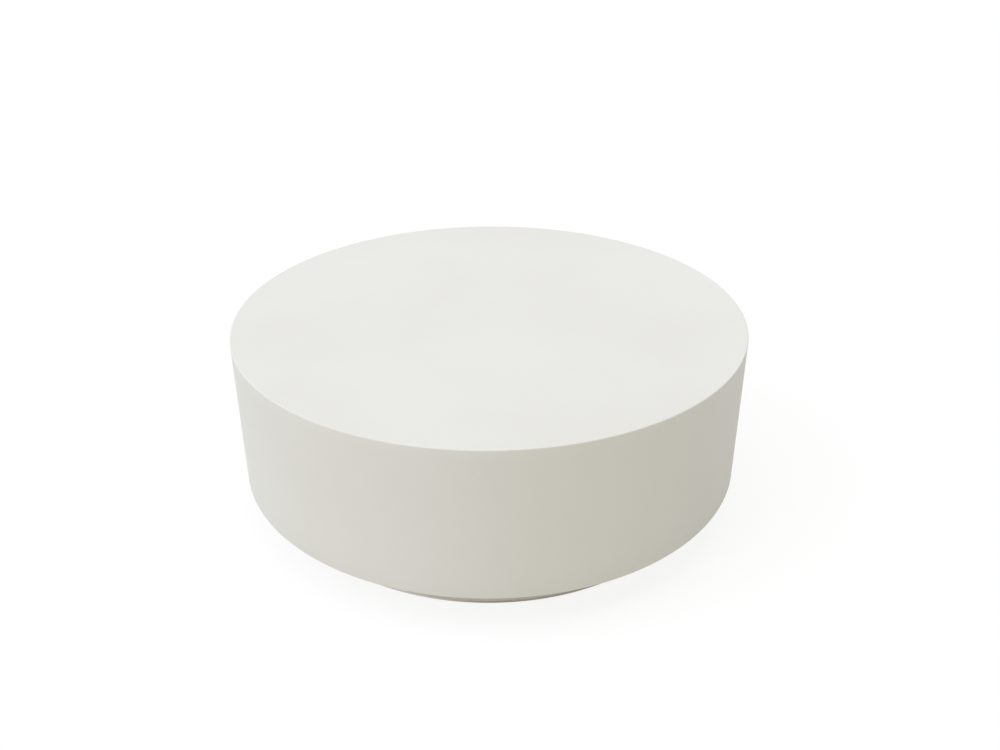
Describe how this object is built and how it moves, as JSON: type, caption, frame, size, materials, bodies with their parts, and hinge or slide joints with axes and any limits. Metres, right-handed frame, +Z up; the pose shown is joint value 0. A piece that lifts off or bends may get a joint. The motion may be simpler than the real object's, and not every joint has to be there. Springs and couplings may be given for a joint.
{
  "type": "coffee table",
  "caption": "Round drum coffee table: a hollow white-lacquered drum of board and bent ply on a recessed plinth with hidden screw-down levelling feet.",
  "frame": {"origin": "on the floor under the middle of the table", "axes": "+Z up along the drum's axis, -Y towards the viewer of the picture, +X to the viewer's right"},
  "size_m": [1, 1, 0.37],
  "materials": {
    "white_lacquer": "matt sprayed lacquer",
    "bare_board": "bare fibreboard",
    "bare_ply": "bare bending ply",
    "zinc_steel": "bright zinc plate",
    "grey_nylon": "moulded",
    "beech": "bare beech"
  },
  "bodies": {
    "table": {"top_panel": "white_lacquer", "outer_skin_front": "white_lacquer", "outer_skin_rear": "white_lacquer", "base_panel": "white_lacquer", "plinth_skirt_left": "white_lacquer", "plinth_skirt_right": "white_lacquer", "top_former": "bare_board", "middle_former": "bare_board", "bottom_former": "bare_board", "rib_left_right": "bare_board", "rib_front_rear": "bare_board", "plinth_ring": "bare_board", "plinth_hoop": "bare_board", "upright_1": "bare_board", "upright_2": "bare_board", "upright_3": "bare_board", "upright_4": "bare_board", "upright_5": "bare_board", "upright_6": "bare_board", "upright_7": "bare_board", "upright_8": "bare_board", "leveller_block_1": "bare_board", "leveller_block_2": "bare_board", "leveller_block_3": "bare_board", "leveller_block_4": "bare_board", "leveller_block_5": "bare_board", "leveller_block_6": "bare_board", "inner_skin_left": "bare_ply", "inner_skin_right": "bare_ply", "leveller_nuts": "zinc_steel", "top_screws": "zinc_steel", "base_screws": "zinc_steel", "plinth_screws": "zinc_steel", "block_screws": "zinc_steel", "top_dowels": "beech"},
    "foot_pad_1": {"leveller_pad_1": "grey_nylon"},
    "foot_stud_1": {"leveller_stud_1": "zinc_steel"},
    "foot_pad_2": {"leveller_pad_2": "grey_nylon"},
    "foot_stud_2": {"leveller_stud_2": "zinc_steel"},
    "foot_pad_3": {"leveller_pad_3": "grey_nylon"},
    "foot_stud_3": {"leveller_stud_3": "zinc_steel"},
    "foot_pad_4": {"leveller_pad_4": "grey_nylon"},
    "foot_stud_4": {"leveller_stud_4": "zinc_steel"},
    "foot_pad_5": {"leveller_pad_5": "grey_nylon"},
    "foot_stud_5": {"leveller_stud_5": "zinc_steel"},
    "foot_pad_6": {"leveller_pad_6": "grey_nylon"},
    "foot_stud_6": {"leveller_stud_6": "zinc_steel"}
  },
  "joints": [
    {"name": "foot_1_drop", "type": "slide", "parent": "table", "child": "foot_pad_1", "axis": [0, 0, -1], "range_m": [0, 0.015]},
    {"name": "foot_1_screw", "type": "hinge", "parent": "foot_pad_1", "child": "foot_stud_1", "pos_m": [0.35, 0, 0], "axis": [0, 0, -1], "range_deg": [0, 4320]},
    {"name": "foot_2_drop", "type": "slide", "parent": "table", "child": "foot_pad_2", "axis": [0, 0, -1], "range_m": [0, 0.015]},
    {"name": "foot_2_screw", "type": "hinge", "parent": "foot_pad_2", "child": "foot_stud_2", "pos_m": [0.175, 0.30311, 0], "axis": [0, 0, -1], "range_deg": [0, 4320]},
    {"name": "foot_3_drop", "type": "slide", "parent": "table", "child": "foot_pad_3", "axis": [0, 0, -1], "range_m": [0, 0.015]},
    {"name": "foot_3_screw", "type": "hinge", "parent": "foot_pad_3", "child": "foot_stud_3", "pos_m": [-0.175, 0.30311, 0], "axis": [0, 0, -1], "range_deg": [0, 4320]},
    {"name": "foot_4_drop", "type": "slide", "parent": "table", "child": "foot_pad_4", "axis": [0, 0, -1], "range_m": [0, 0.015]},
    {"name": "foot_4_screw", "type": "hinge", "parent": "foot_pad_4", "child": "foot_stud_4", "pos_m": [-0.35, 0, 0], "axis": [0, 0, -1], "range_deg": [0, 4320]},
    {"name": "foot_5_drop", "type": "slide", "parent": "table", "child": "foot_pad_5", "axis": [0, 0, -1], "range_m": [0, 0.015]},
    {"name": "foot_5_screw", "type": "hinge", "parent": "foot_pad_5", "child": "foot_stud_5", "pos_m": [-0.175, -0.30311, 0], "axis": [0, 0, -1], "range_deg": [0, 4320]},
    {"name": "foot_6_drop", "type": "slide", "parent": "table", "child": "foot_pad_6", "axis": [0, 0, -1], "range_m": [0, 0.015]},
    {"name": "foot_6_screw", "type": "hinge", "parent": "foot_pad_6", "child": "foot_stud_6", "pos_m": [0.175, -0.30311, 0], "axis": [0, 0, -1], "range_deg": [0, 4320]}
  ],
  "couplings": [
    {"joint": "foot_1_screw", "follows": "foot_1_drop", "rad_per_m": 5026.5},
    {"joint": "foot_2_screw", "follows": "foot_2_drop", "rad_per_m": 5026.5},
    {"joint": "foot_3_screw", "follows": "foot_3_drop", "rad_per_m": 5026.5},
    {"joint": "foot_4_screw", "follows": "foot_4_drop", "rad_per_m": 5026.5},
    {"joint": "foot_5_screw", "follows": "foot_5_drop", "rad_per_m": 5026.5},
    {"joint": "foot_6_screw", "follows": "foot_6_drop", "rad_per_m": 5026.5}
  ]
}
